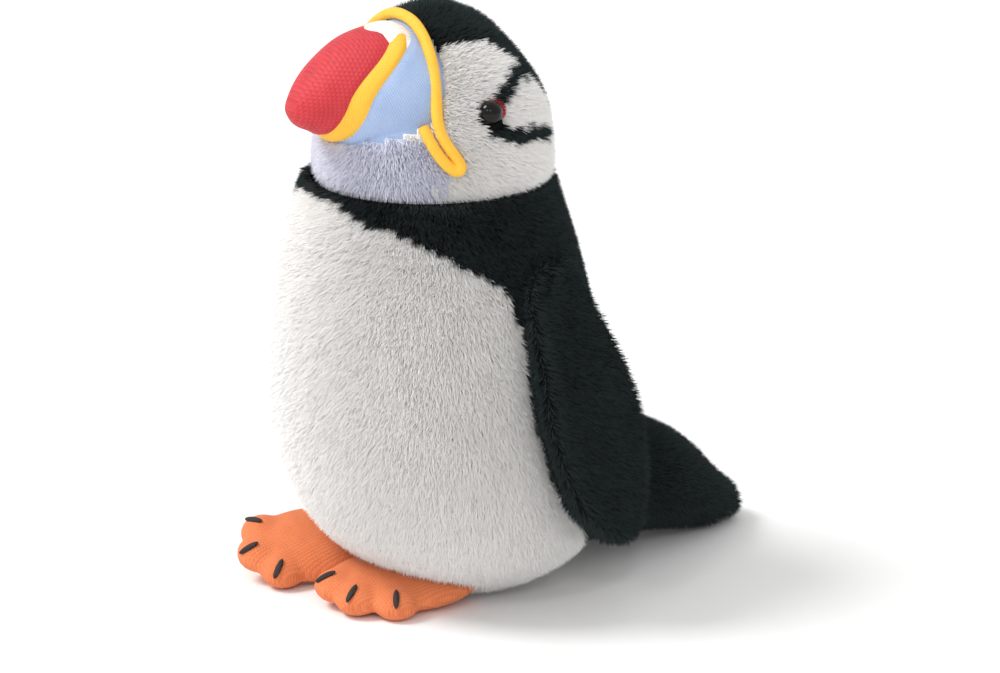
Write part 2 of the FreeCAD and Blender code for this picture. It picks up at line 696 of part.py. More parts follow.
def main():
    write_sheet()
    halves = half_spaces()
    body_outer = make_body(halves)
    body_clear = body_loft("body_clear", "+ " + cell("limb_clearance"))
    doc.recompute()
    make_head(halves)
    make_wings(body_outer)
    make_tail(body_clear)
    floor = block("floor_space", (-MARGIN, -MARGIN, -MARGIN), (MARGIN, MARGIN, 0))
    for side in ("left", "right"):
        make_foot(side, body_clear, floor)
    doc.recompute()
    check_document()
    write_parts()
    for item in pieces:
        box = item.Shape.BoundBox
        print("%-24s solids %d volume %9.1f  x %6.1f %6.1f  y %6.1f %6.1f  z %6.1f %6.1f" % (
            item.Label, len(item.Shape.Solids), item.Shape.Volume,
            box.XMin, box.XMax, box.YMin, box.YMax, box.ZMin, box.ZMax))


main()
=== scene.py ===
import math
import bpy
import numpy as np
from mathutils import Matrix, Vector, noise
from bpy.props import FloatProperty, IntProperty, PointerProperty


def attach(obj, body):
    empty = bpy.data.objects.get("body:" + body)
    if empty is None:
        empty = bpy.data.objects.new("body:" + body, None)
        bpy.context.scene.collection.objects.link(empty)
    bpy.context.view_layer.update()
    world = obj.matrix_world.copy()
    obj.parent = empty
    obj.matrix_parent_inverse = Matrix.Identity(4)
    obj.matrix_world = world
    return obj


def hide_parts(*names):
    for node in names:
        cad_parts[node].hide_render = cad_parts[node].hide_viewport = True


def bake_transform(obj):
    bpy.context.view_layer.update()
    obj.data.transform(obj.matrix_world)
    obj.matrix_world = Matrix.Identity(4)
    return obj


bl_info = {
    "name": "Plush puffin",
    "version": (1, 0, 0),
    "blender": (4, 5, 0),
    "location": "3D View > Sidebar > Plush puffin",
    "description": "Builds a small plush puffin with pile fabric, knit beak and feet",
    "category": "Object",
}

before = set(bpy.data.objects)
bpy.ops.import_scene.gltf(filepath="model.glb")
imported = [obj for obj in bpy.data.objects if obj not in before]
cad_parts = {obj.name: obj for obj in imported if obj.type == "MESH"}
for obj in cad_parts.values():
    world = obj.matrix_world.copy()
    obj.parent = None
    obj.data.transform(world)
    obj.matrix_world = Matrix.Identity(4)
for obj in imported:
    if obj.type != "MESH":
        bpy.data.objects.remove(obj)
MM = 0.001
FLOOR_GAP = 0.2 * MM


# ---------------------------------------------------------------- sizes
def length(name, text, millimetres):
    return FloatProperty(name=name, description=text, default=millimetres * MM, unit="LENGTH", precision=5)


def factor(name, text, value):
    return FloatProperty(name=name, description=text, default=value, subtype="FACTOR")


def angle(name, text, degrees):
    return FloatProperty(name=name, description=text, default=math.radians(degrees), subtype="ANGLE")


class PUFFIN_PG_pile(bpy.types.PropertyGroup):
    strand_length: length("Strand length", "Length of one pile strand", 3.1)
    strand_radius: length("Strand radius", "Half width of a strand at its root", 0.155)
    white_density: FloatProperty(name="White density", description="Strands per square metre", default=11.5e6)
    black_density: FloatProperty(name="Black density", description="Strands per square metre", default=11.5e6)
    hidden_density: FloatProperty(name="Hidden density", default=5.0e6,
                                  description="Strands per square metre where little shows")
    stand: factor("Stand", "How far the strands stand up", 0.8)
    lean: factor("Lean", "How far the strands lean along the combing", 0.5)
    fray: factor("Fray", "How far each strand strays", 0.30)
    clump: factor("Clump", "How far neighbouring strands lean together", 0.55)


class PUFFIN_PG_body(bpy.types.PropertyGroup):
    step: length("Ring step", "Height between two rings of the skins", 1.4)
    segments: IntProperty(name="Segments", description="Faces round the body", default=150)
    collar_start: length("Collar start", "Height where the neck collar starts", 93.0)
    collar_end: length("Collar end", "Height of the neck seam", 105.8)


class PUFFIN_PG_beak(bpy.types.PropertyGroup):
    tilt: angle("Tilt", "How far the beak's sections lean", 18.0)
    pinch: factor("Pinch", "How far the seams draw the cloth in, as a part of the width", 0.045)
    piping_radius: length("Piping radius", "Half the thickness of the piping", 1.4)


class PUFFIN_PG_eye(bpy.types.PropertyGroup):
    radius: length("Bead radius", "Radius of the eye bead", 3.0)
    felt: length("Felt radius", "Radius of the felt disc", 3.1)


class PUFFIN_PG_foot(bpy.types.PropertyGroup):
    half_width: length("Half width", "Half the width of a foot", 12.4)
    half_length: length("Half length", "Half the length of a foot", 19.4)
    half_thickness: length("Half thickness", "Half the thickness of a foot", 5.0)
    voxel: length("Fineness", "Size of the remeshed faces", 0.7)


class PUFFIN_PG_stage(bpy.types.PropertyGroup):
    sky: FloatProperty(name="Sky", description="Strength of the light from all round", default=0.8)
    sun: FloatProperty(name="Sun", description="Strength of the main soft light", default=1.95)
    azimuth: angle("Azimuth", "Camera azimuth", 60.0)
    elevation: angle("Elevation", "Camera elevation", 18.0)
    distance: length("Distance", "Camera distance", 900.0)
    lens: FloatProperty(name="Lens", description="Focal length in millimetres", default=129.6)


# ---------------------------------------------------------------- shader maths
class Value:
    """A number in a node tree: a socket or a plain number, with arithmetic."""

    def __init__(self, tree, source):
        self.tree = tree
        self.source = source

    def math(self, operation, *others):
        node = self.tree.new("ShaderNodeMath", operation=operation)
        for socket, source in zip(node.inputs, (self, *others)):
            self.tree.feed(socket, source)
        return Value(self.tree, node.outputs[0])

    def __add__(self, other):
        return self.math("ADD", other)

    __radd__ = __add__

    def __mul__(self, other):
        return self.math("MULTIPLY", other)

    __rmul__ = __mul__

    def __sub__(self, other):
        return self.math("SUBTRACT", other)

    def __rsub__(self, other):
        return Value(self.tree, other).math("SUBTRACT", self)

    def __truediv__(self, other):
        return self.math("DIVIDE", other)

    def sin(self):
        return self.math("SINE")

    def abs(self):
        return self.math("ABSOLUTE")

    def floor(self):
        return self.math("FLOOR")

    def clamp(self):
        return self.math("MAXIMUM", 0.0).math("MINIMUM", 1.0)

    def ramp(self, low, high):
        """0 below low, 1 above high, smooth between."""
        t = ((self - low) / (high - low)).clamp()
        return t * t * (3.0 - 2.0 * t)


class Tree:
    """A material's nodes, made through one method."""

    def __init__(self, name):
        self.material = bpy.data.materials.new(name)
        self.material.use_nodes = True
        self.nodes = self.material.node_tree.nodes
        self.links = self.material.node_tree.links
        self.shader = self.nodes["Principled BSDF"]

    def new(self, kind, settings=None, **fixed):
        node = self.nodes.new(kind)
        for key, value in fixed.items():
            setattr(node, key, value)
        for key, source in (settings or {}).items():
            self.feed(node.inputs[key], source)
        return node

    def feed(self, socket, source):
        source = source.source if isinstance(source, Value) else source
        if isinstance(source, bpy.types.NodeSocket):
            self.links.new(source, socket)
        elif isinstance(source, (tuple, list)) and len(source) == 3 and socket.type == "RGBA":
            socket.default_value = (*source, 1.0)
        else:
            socket.default_value = source

    def place(self):
        """Object coordinates in millimetres, as three values."""
        coords = self.new("ShaderNodeTexCoord").outputs["Object"]
        split = self.new("ShaderNodeSeparateXYZ", {0: coords})
        return [Value(self, split.outputs[i]) * 1000.0 for i in range(3)]

    def strand(self):
        """Tone of the strand and height along it, from its own map."""
        own_map = self.new("ShaderNodeUVMap", uv_map="OFBake").outputs[0]
        split = self.new("ShaderNodeSeparateXYZ", {0: own_map})
        return Value(self, split.outputs[0]), Value(self, split.outputs[1])

    def noise(self, x, y, z, scale, detail=2.0):
        spot = self.new("ShaderNodeCombineXYZ", {0: x, 1: y, 2: z}).outputs[0]
        node = self.new("ShaderNodeTexNoise", {"Vector": spot, "Scale": scale, "Detail": detail})
        return Value(self, node.outputs[0])

    def random(self, value):
        node = self.new("ShaderNodeTexWhiteNoise", {"W": value}, noise_dimensions="1D")
        return Value(self, node.outputs["Value"])

    def mix(self, amount, first, second):
        node = self.new("ShaderNodeMix", data_type="RGBA")
        self.feed(node.inputs[0], amount)
        self.feed(node.inputs[6], first)
        self.feed(node.inputs[7], second)
        return node.outputs[2]

    def bump(self, height, distance, strength=1.0):
        node = self.new("ShaderNodeBump", {"Height": height, "Distance": distance, "Strength": strength})
        self.feed(self.shader.inputs["Normal"], node.outputs[0])

    def set(self, **inputs):
        for key, source in inputs.items():
            self.feed(self.shader.inputs[key.replace("_", " ")], source)
        return self.material


MADE = {}


def pile_material(name, root, tip, spread):
    """Pile strands: painted shade at the root, a lighter tip, each strand its own tone."""
    tree = Tree(name)
    tone, rise = tree.strand()
    lot = tree.random((tone * 96.0).floor())
    height = (rise + (lot - 0.5) * spread).clamp()
    # painted shade: the root colour is darker than the tip to stand for the shade deep down in the pile
    colour = tree.mix(height.ramp(0.0, 0.8), root, tip)
    return tree.set(Base_Color=colour, Roughness=0.85, Specular_IOR_Level=0.2)


def knit_material(name, dark, light, across, along, pitch, depth, gloss=0.75, sheen=0.3):
    """Knit: rows of small stitches that slant to and fro, with painted shade in the stitch hollows and a
    brushed bloom.
    """
    tree = Tree(name)
    place = tree.place()
    u, v = place[across], place[along]
    row = (v * (2.0 * math.pi / pitch)).sin()
    wale = ((u + row * (pitch * 0.16)) * (math.pi / pitch)).sin().abs()
    stitch = wale * 0.7 + (row * 0.5 + 0.5) * 0.3
    cloud = tree.noise(*place, 0.28, 3.0)
    fuzz = tree.noise(*place, 4.5, 2.0)
    # painted shade: the stitch term darkens the colour where the stitches sink; cloud and fuzz are the yarn's
    # random tone
    amount = (stitch * 0.45 + (cloud - 0.5) * 0.5 + (fuzz - 0.5) * 0.7 + 0.3).clamp()
    tree.bump(stitch + fuzz * 0.5, depth)
    return tree.set(Base_Color=tree.mix(amount, dark, light), Roughness=gloss, Sheen_Weight=sheen)


def tricot_material(name, dark, light):
    """Satin tricot: very fine ribs with painted shade between them and a soft shine."""
    tree = Tree(name)
    place = tree.place()
    rib = ((place[1] + place[2] * 0.35) * (2.0 * math.pi / 0.55)).sin()
    cloud = tree.noise(*place, 0.14, 2.0)
    grain = tree.noise(*place, 3.0, 2.0)
    # painted shade: the rib term darkens the grooves between the ribs; cloud and grain are random tone
    amount = (rib * 0.12 + cloud + (grain - 0.5) * 0.35).clamp()
    tree.bump(rib + grain, 0.00006)
    return tree.set(Base_Color=tree.mix(amount, dark, light), Roughness=0.5, Sheen_Weight=0.05)


def plain_material(name, dark, light, scale, roughness, depth=0.0001):
    """A mottled surface, for felt, thread, fibre, cloth and moulded plastic."""
    tree = Tree(name)
    place = tree.place()
    grain = tree.noise(*place, scale, 3.0)
    tree.bump(grain, depth)
    return tree.set(Base_Color=tree.mix(grain.ramp(0.3, 0.7), dark, light), Roughness=roughness)


def thread_material(name, dark, light):
    """Satin stitch: close threads laid side by side, with painted shade between the threads."""
    tree = Tree(name)
    place = tree.place()
    thread = ((place[0] + place[1] * 0.4) * (2.0 * math.pi / 0.35)).sin() * 0.5 + 0.5
    tree.bump(thread, 0.00012)
    # painted shade: the colour darkens where the threads dip, the same wave that drives the bump
    return tree.set(Base_Color=tree.mix(thread, dark, light), Roughness=0.6)


def bead_material(name):
    """Polished black plastic with the faintest dust."""
    tree = Tree(name)
    dust = tree.noise(*tree.place(), 1.6, 3.0)
    colour = tree.mix(dust.ramp(0.55, 0.8), (0.004, 0.003, 0.003), (0.012, 0.008, 0.007))
    return tree.set(Base_Color=colour, Roughness=dust.ramp(0.4, 0.9) * 0.05 + 0.03, Specular_IOR_Level=0.25)


def make_materials():
    MADE.update({
        # pile colours are given root first, darkened by painted shade, then tip
        "white_pile": pile_material("white_pile", (0.88, 0.86, 0.84), (0.985, 0.975, 0.96), 0.4),
        "chin_pile": pile_material("chin_pile", (0.66, 0.67, 0.80), (0.88, 0.89, 0.97), 0.5),
        "black_pile": pile_material("black_pile", (0.002, 0.003, 0.0033), (0.03, 0.042, 0.043), 0.8),
        "red_knit": knit_material("red_knit", (0.36, 0.006, 0.012), (0.72, 0.035, 0.05),
                                  1, 2, 0.9, 0.00012, 0.6, 0.02),
        "yellow_knit": knit_material("yellow_knit", (0.86, 0.40, 0.02), (1.0, 0.58, 0.05),
                                     1, 2, 0.6, 0.00005, 0.7, 0.04),
        "blue_tricot": tricot_material("blue_tricot", (0.27, 0.38, 0.62), (0.42, 0.54, 0.77)),
        "orange_knit": knit_material("orange_knit", (0.60, 0.12, 0.035), (0.90, 0.27, 0.10),
                                     0, 1, 0.75, 0.00012, 0.85, 0.05),
        "claw_thread": thread_material("claw_thread", (0.012, 0.008, 0.008), (0.05, 0.035, 0.03)),
        "red_felt": plain_material("red_felt", (0.16, 0.01, 0.015), (0.36, 0.03, 0.04), 2.5, 0.95),
        "eye_plastic": bead_material("eye_plastic"),
        "fibre_fill": plain_material("fibre_fill", (0.68, 0.67, 0.64), (0.85, 0.84, 0.82), 1.2, 0.95),
        "washer_plastic": plain_material("washer_plastic", (0.70, 0.70, 0.68), (0.8, 0.8, 0.78),
                                         0.8, 0.5, 0.00002),
        "bag_cloth": plain_material("bag_cloth", (0.60, 0.59, 0.54), (0.75, 0.74, 0.70), 2.0, 0.9),
        "pellet_plastic": plain_material("pellet_plastic", (0.62, 0.62, 0.6), (0.75, 0.75, 0.72), 0.5, 0.5),
    })


# ---------------------------------------------------------------- modelling by operators
def spline(keys, values, at):
    """Smooth curve through values at keys, read at other places."""
    keys, values = np.array(keys, float), np.array(values, float)
    count = len(keys)
    gap = np.diff(keys)
    matrix, right = np.eye(count), np.zeros(count)
    for i in range(1, count - 1):
        matrix[i, i - 1:i + 2] = gap[i - 1], 2 * (gap[i - 1] + gap[i]), gap[i]
        right[i] = 6 * ((values[i + 1] - values[i]) / gap[i] - (values[i] - values[i - 1]) / gap[i - 1])
    bend = np.linalg.solve(matrix, right)
    out = []
    for x in at:
        i = min(max(int(np.searchsorted(keys, x)) - 1, 0), count - 2)
        a, b = (keys[i + 1] - x) / gap[i], (x - keys[i]) / gap[i]
        out.append(a * values[i] + b * values[i + 1]
                   + ((a ** 3 - a) * bend[i] + (b ** 3 - b) * bend[i + 1]) * gap[i] ** 2 / 6)
    return out


def fresh():
    if bpy.context.object and bpy.context.object.mode != "OBJECT":
        bpy.ops.object.mode_set(mode="OBJECT")
    bpy.ops.object.select_all(action="DESELECT")


def swept(name, rings, segments, close_start=False, close_end=True):
    """A skin grown ring by ring from a circle: each ring is (x, y, z, half width, half depth)."""
    fresh()
    x, y, z, wide, deep = rings[0]
    bpy.ops.mesh.primitive_circle_add(vertices=segments, radius=1.0, fill_type="NOTHING")
    obj = bpy.context.object
    obj.name = name
    obj.data.name = name
    bpy.ops.object.mode_set(mode="EDIT")
    bpy.ops.mesh.select_all(action="SELECT")
    bpy.ops.transform.resize(value=(wide, deep, 1.0), center_override=(0, 0, 0))
    bpy.ops.transform.translate(value=(x, y, z))
    if close_start:
        bpy.ops.mesh.edge_face_add()
        bpy.ops.mesh.select_all(action="SELECT")
        bpy.ops.mesh.inset(thickness=min(wide, deep) * 0.5)
        bpy.ops.mesh.select_all(action="DESELECT")
        bpy.ops.object.mode_set(mode="OBJECT")
        spots = np.array([v.co for v in obj.data.vertices])
        reach = np.hypot((spots[:, 0] - x) / wide, (spots[:, 1] - y) / deep)
        for vertex, far in zip(obj.data.vertices, reach):
            vertex.select = bool(far > 0.98)
        bpy.ops.object.mode_set(mode="EDIT")
    last = rings[0]
    for ring in rings[1:]:
        step = [ring[i] - last[i] for i in range(3)]
        bpy.ops.mesh.extrude_edges_move(TRANSFORM_OT_translate={"value": step})
        bpy.ops.transform.resize(value=(ring[3] / last[3], ring[4] / last[4], 1.0), center_override=ring[:3])
        last = ring
    if close_end:
        bpy.ops.mesh.edge_face_add()
    bpy.ops.mesh.select_all(action="SELECT")
    bpy.ops.mesh.normals_make_consistent(inside=False)
    bpy.ops.object.mode_set(mode="OBJECT")
    bpy.ops.object.shade_smooth()
    return obj


def applied(obj, kind, **settings):
    """One modifier, applied."""
    fresh()
    bpy.context.view_layer.objects.active = obj
    obj.select_set(True)
    modifier = obj.modifiers.new(kind.lower(), kind)
    for key, value in settings.items():
        setattr(modifier, key, value)
    bpy.ops.object.modifier_apply(modifier=modifier.name)
    return obj


def fixed(obj):
    """Puts the object's place, turn and size into its mesh."""
    fresh()
    bpy.context.view_layer.objects.active = obj
    obj.select_set(True)
    bpy.ops.object.transform_apply(location=True, rotation=True, scale=True)
    return obj


def ball(name, radii, location=(0, 0, 0), rotation=(0, 0, 0), fine=32):
    fresh()
    bpy.ops.mesh.primitive_uv_sphere_add(segments=fine, ring_count=fine // 2, radius=1.0,
                                         location=location, rotation=rotation, scale=radii)
    obj = bpy.context.object
    obj.name = name
    bpy.ops.object.shade_smooth()
    return fixed(obj)


def joined(objects, name):
    fresh()
    for obj in objects:
        obj.select_set(True)
    bpy.context.view_layer.objects.active = objects[0]
    bpy.ops.object.join()
    objects[0].name = name
    return objects[0]


def copied(nodes, name):
    """A joined copy of CAD nodes, with its loose triangles merged."""
    fresh()
    copies = []
    for node in nodes:
        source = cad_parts[node]
        copy = source.copy()
        copy.data = source.data.copy()
        for key in list(copy.keys()):
            del copy[key]
        bpy.context.scene.collection.objects.link(copy)
        copy.parent = None
        copies.append(copy)
    obj = joined(copies, name)
    bpy.ops.object.mode_set(mode="EDIT")
    bpy.ops.mesh.select_all(action="SELECT")
    bpy.ops.mesh.remove_doubles(threshold=0.00001)
    bpy.ops.object.mode_set(mode="OBJECT")
    obj.data.materials.clear()
    return obj


def softened(obj, voxel, smooth):
    """One even soft skin from overlapping solids."""
    applied(obj, "REMESH", mode="VOXEL", voxel_size=voxel)
    applied(obj, "SMOOTH", factor=0.5, iterations=smooth)
    bpy.ops.object.shade_smooth()
    return obj


def part_of(obj, name, keep):
    """A copy of obj with only the faces whose centres keep() accepts."""
    fresh()
    obj.select_set(True)
    bpy.context.view_layer.objects.active = obj
    bpy.ops.object.duplicate()
    copy = bpy.context.object
    copy.name = name
    for key in list(copy.keys()):
        del copy[key]
    copy.parent = None
    bpy.ops.object.mode_set(mode="EDIT")
    bpy.ops.mesh.select_mode(type="FACE")
    bpy.ops.mesh.select_all(action="DESELECT")
    bpy.ops.object.mode_set(mode="OBJECT")
    for face in copy.data.polygons:
        face.select = not keep(face.center / MM)
    bpy.ops.object.mode_set(mode="EDIT")
    bpy.ops.mesh.delete(type="FACE")
    bpy.ops.mesh.select_mode(type="VERT")
    bpy.ops.object.mode_set(mode="OBJECT")
    return copy


def ridden(obj, body, material=None, nodes=()):
    if material:
        obj.data.materials.clear()
        obj.data.materials.append(MADE[material])
    if nodes:
        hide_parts(*nodes)
    if body:
        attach(obj, body)
    return obj


# ---------------------------------------------------------------- pile
def strand_group(material, density, seed, lengthen):
    """Node group that plants closed three-sided strands on a skin."""
    sizes = bpy.context.scene.puffin_pile
    group = bpy.data.node_groups.new("strands", "GeometryNodeTree")
    group.interface.new_socket("Geometry", in_out="INPUT", socket_type="NodeSocketGeometry")
    group.interface.new_socket("Geometry", in_out="OUTPUT", socket_type="NodeSocketGeometry")

    def new(kind, inputs=None, **fixed_values):
        node = group.nodes.new(kind)
        for key, value in fixed_values.items():
            setattr(node, key, value)
        for key, source in (inputs or {}).items():
            if isinstance(source, bpy.types.NodeSocket):
                group.links.new(source, node.inputs[key])
            else:
                node.inputs[key].default_value = source
        return node

    def scaled(vector, amount):
        return new("ShaderNodeVectorMath", {0: vector, "Scale": amount}, operation="SCALE").outputs[0]

    def added(first, second):
        return new("ShaderNodeVectorMath", {0: first, 1: second}, operation="ADD").outputs[0]

    def stored(geometry, name, kind, domain, value):
        return new("GeometryNodeStoreNamedAttribute", {"Geometry": geometry, "Name": name, "Value": value},
                   data_type=kind, domain=domain).outputs[0]

    def calc(operation, first, second):
        return new("ShaderNodeMath", {0: first, 1: second}, operation=operation).outputs[0]

    start = new("NodeGroupInput")
    position = new("GeometryNodeInputPosition").outputs[0]
    points = new("GeometryNodeDistributePointsOnFaces",
                 {"Mesh": start.outputs[0], "Density": density, "Seed": seed}, distribute_method="RANDOM")
    tall = sizes.strand_length * lengthen
    cone = new("GeometryNodeMeshCone",
               {"Vertices": 3, "Radius Top": 0.0, "Radius Bottom": sizes.strand_radius, "Depth": tall},
               fill_type="NONE")
    split = new("ShaderNodeSeparateXYZ", {0: position})
    strand = stored(cone.outputs["Mesh"], "rise", "FLOAT", "POINT", calc("DIVIDE", split.outputs[2], tall))
    strand = stored(strand, "spin", "FLOAT", "POINT", calc("MULTIPLY", split.outputs[0], 10.0))
    comb = new("GeometryNodeInputNamedAttribute", {"Name": "comb"}, data_type="FLOAT_VECTOR").outputs[0]
    stray = new("FunctionNodeRandomValue", {0: (-1, -1, -1), 1: (1, 1, 1)},
                data_type="FLOAT_VECTOR").outputs[0]
    cloud = new("ShaderNodeTexNoise", {"Vector": position, "Scale": 260.0, "Detail": 1.0}).outputs["Color"]
    drift = added(cloud, (-0.5, -0.5, -0.5))
    direction = added(scaled(points.outputs["Normal"], sizes.stand), scaled(comb, sizes.lean))
    direction = added(direction, added(scaled(stray, sizes.fray), scaled(drift, sizes.clump)))
    turn = new("FunctionNodeAlignRotationToVector", {"Vector": direction}, axis="Z").outputs[0]
    grow = new("FunctionNodeRandomValue", {2: 0.72, 3: 1.1}, data_type="FLOAT").outputs[1]
    placed = new("GeometryNodeInstanceOnPoints",
                 {"Points": points.outputs[0], "Instance": strand, "Rotation": turn, "Scale": grow})
    tone = new("FunctionNodeRandomValue", {2: 0.02, 3: 0.97, "Seed": 7}, data_type="FLOAT").outputs[1]
    toned = stored(placed.outputs[0], "tone", "FLOAT", "INSTANCE", tone)
    real = new("GeometryNodeRealizeInstances", {0: toned}).outputs[0]

    def read(name):
        return new("GeometryNodeInputNamedAttribute", {"Name": name}, data_type="FLOAT").outputs[0]

    place = new("ShaderNodeCombineXYZ",
                {0: calc("ADD", read("tone"), read("spin")),
                 1: calc("ADD", calc("MULTIPLY", read("rise"), 0.98), 0.01)}).outputs[0]
    mapped = stored(real, "OFBake", "FLOAT2", "CORNER", place)
    for name in ("rise", "spin", "tone"):
        mapped = new("GeometryNodeRemoveAttribute", {"Geometry": mapped, "Name": name}).outputs[0]
    dyed = new("GeometryNodeSetMaterial", {0: mapped, "Material": material}).outputs[0]
    end = new("NodeGroupOutput")
    group.links.new(dyed, end.inputs[0])
    return group


def pressed(obj):
    """Lays what hangs lower than the floor flat on it."""
    spots = np.empty(len(obj.data.vertices) * 3, np.float32)
    obj.data.vertices.foreach_get("co", spots)
    spots[2::3] = np.maximum(spots[2::3], FLOOR_GAP)
    obj.data.vertices.foreach_set("co", spots)
    obj.data.update()


def planted(skin, name, keep, field, colour, density, seed, body, lengthen=1.0):
    """Pile on the faces that keep() accepts; field(p) is the way it is combed."""
    obj = part_of(skin, name, keep)
    obj.data.materials.clear()
    obj.data.materials.append(MADE[colour])
    mesh = obj.data
    combs = np.zeros((len(mesh.vertices), 3), np.float32)
    for i, vertex in enumerate(mesh.vertices):
        way = Vector(field(vertex.co / MM))
        flat = way - vertex.normal * way.dot(vertex.normal)
        combs[i] = flat.normalized() if flat.length > 0.001 else (0, 0, 0)
    layer = mesh.attributes.new("comb", "FLOAT_VECTOR", "POINT")
    layer.data.foreach_set("vector", combs.ravel())
    group = strand_group(MADE[colour], density, seed, lengthen)
    applied(obj, "NODES", node_group=group)
    if obj.data.attributes.get("comb"):
        obj.data.attributes.remove(obj.data.attributes["comb"])
    pressed(obj)
    return ridden(obj, body)


# ---------------------------------------------------------------- where the colours meet
BELLY_BORDER = [(-60, 104.5), (-33, 104.5), (-30.9, 101), (-27.2, 100), (-18.9, 95.6), (-10.3, 89.8),
                (-4.3, 86.3), (-2.2, 81), (-0.4, 71), (1.0, 55.5), (5.5, 38.6), (10.5, 30.9),
                (19.5, 19.6), (28, 9), (33, 0)]
STRIPES = [[(24.6, 0.6, 128.9), (20.6, 5.6, 131.6), (17.1, 10.0, 132.6), (15.0, 13.5, 133.5)],
           [(27.6, -2.2, 122.4), (26.8, 4.2, 120.5), (23.8, 11.8, 119.0), (19.4, 17.4, 117.6)]]
CROWN_WIDTH = [(104, 9.5), (118, 10.0), (126, 12.5), (130, 14.6), (134, 13.8), (137, 13.9), (140, 13.4),
               (150, 14.2)]
EYE = (25.8, -2.1, 126.0)


def is_belly(p):
    """White belly: in front of the side-view border line."""
    y, z = p[1], p[2]
    for (y0, z0), (y1, z1) in zip(BELLY_BORDER, BELLY_BORDER[1:]):
        if min(z0, z1) <= z <= max(z0, z1) and abs(z1 - z0) > 0.01:
            return y < y0 + (y1 - y0) * (z - z0) / (z1 - z0)
    return False


def near_stripe(p):
    spot = Vector((abs(p[0]), p[1], p[2]))
    for stripe in STRIPES:
        for a, b in zip(stripe, stripe[1:]):
            a, b = Vector(a), Vector(b)
            t = max(0.0, min(1.0, (spot - a).dot(b - a) / (b - a).length_squared))
            if (spot - a.lerp(b, t)).length < 2.0 + noise.noise(Vector(p) * 0.8):
                return True
    return False


def near_eye(p):
    return (Vector((abs(p[0]), p[1], p[2])) - Vector(EYE)).length < 4.0


def in_beak(p):
    """Inside the root of the beak, where no pile is planted."""
    v = p[1] * 0.309 + p[2] * 0.951
    w = -p[1] * 0.951 + p[2] * 0.309
    half = 18.2 if v > 115.6 else 13.0
    return w > 52.0 and ((v - 115.6) / half) ** 2 + (p[0] / 22.6) ** 2 < 1.0


def is_crown(p):
    wide = float(np.interp(p[2], *zip(*CROWN_WIDTH)))
    return abs(p[0]) < wide and (p[1] > 2.0 or p[2] > 136.5)


def is_chin(p):
    stray = noise.noise(Vector(p) * 0.45) * 5.0
    return p[1] + stray < -13.5 - 0.25 * (115 - p[2]) and p[2] < 121


def head_dye(p):
    if near_eye(p) or in_beak(p):
        return None
    if is_crown(p) or near_stripe(p):
        return "black_pile"
    return "chin_pile" if is_chin(p) else "white_pile"


# ---------------------------------------------------------------- the pieces
class Build:
    """Shared shape of the operators: one piece, or a group of like pieces."""
    bl_options = {"REGISTER"}

    def execute(self, context):
        self.build(context.scene)
        return {"FINISHED"}


BODY_RINGS = [(0, 3, 12), (3, 4.5, 18), (7, 5.6, 24.5), (12, 5.2, 30.5), (18, 3.8, 35.4), (26, 2.0, 38.8),
              (34, 0.3, 40.4), (46, -2, 40.7), (66, -4, 39), (86, -5, 35.3), (106, -4.8, 29)]
HEAD_RINGS = [(0, 28), (8, 27.8), (17, 26.2), (26, 21.2), (33, 15.3), (38, 8.8), (40.5, 2.5)]
HEAD_SEAM = 106.35
HEAD_CENTRE = -3.3


def body_rings(low, high, step, inside=0.35):
    """Rings of the body's skin between two heights, a little inside the cloth's outer face."""
    count = max(2, int(round((high - low) / step)) + 1)
    heights = np.linspace(low, high, count)
    keys = [ring[0] for ring in BODY_RINGS]
    centres = spline(keys, [ring[1] for ring in BODY_RINGS], heights)
    radii = spline(keys, [ring[2] for ring in BODY_RINGS], heights)
    return [(0.0, y * MM, z * MM, (r - inside) * MM, (r - inside) * MM)
            for y, z, r in zip(centres, heights, radii)]


class PUFFIN_OT_torso(Build, bpy.types.Operator):
    """Builds the stuffed body: its skin, white belly pile and dark back pile"""
    bl_idname = "puffin.torso"
    bl_label = "Torso"

    def build(self, scene):
        sizes, pile = scene.puffin_body, scene.puffin_pile
        top = sizes.collar_start / MM + 1.0
        rings = body_rings(0.4, top, sizes.step / MM)
        skin = swept("torso_skin", rings, sizes.segments, close_start=True)
        skin.data.materials.append(MADE["white_pile"])
        skin.data.materials.append(MADE["black_pile"])
        for face in skin.data.polygons:
            face.material_index = 0 if is_belly(face.center / MM) else 1
        sides = (("left", 1), ("right", -1))
        for side, sign in sides:
            planted(skin, "belly_pile_" + side,
                    lambda p, s=sign: 3.6 < p[2] < top - 0.5 and p[0] * s >= 0 and is_belly(p),
                    lambda p: (0, -0.15, -1), "white_pile", pile.white_density, 11 + sign, "torso")
            planted(skin, "back_pile_" + side,
                    lambda p, s=sign: 3.6 < p[2] < top - 0.5 and p[0] * s >= 0 and not is_belly(p),
                    lambda p: (0, 0.2, -1), "black_pile", pile.black_density, 21 + sign, "torso")
        ridden(skin, "torso",
               nodes=("base_panel", "body_stuffing", "belly_panel_left", "belly_panel_right",
                      "back_panel_left", "back_panel_right"))


class PUFFIN_OT_collar(Build, bpy.types.Operator):
    """Builds the dark collar between the torso and the neck"""
    bl_idname = "puffin.collar"
    bl_label = "Collar"

    def build(self, scene):
        sizes, pile = scene.puffin_body, scene.puffin_pile
        low, high = sizes.collar_start / MM, sizes.collar_end / MM
        rings = body_rings(low, high, sizes.step / MM)
        skin = swept("neck_collar_skin", rings, sizes.segments, close_end=False)
        skin.data.materials.append(MADE["black_pile"])
        skin.data.materials.append(MADE["white_pile"])
        for face in skin.data.polygons:
            face.material_index = 1 if is_belly(face.center / MM) else 0
        dark = planted(skin, "collar_pile_dark", lambda p: not is_belly(p), lambda p: (0, 0.2, -1),
                       "black_pile", pile.black_density, 31, None)
        white = planted(skin, "collar_pile_white", is_belly, lambda p: (0, -0.15, -1),
                        "white_pile", pile.white_density, 32, None)
        ridden(skin, None, nodes=("neck_collar", "neck_stuffing"))
        for obj in (skin, dark, white):
            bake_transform(obj)


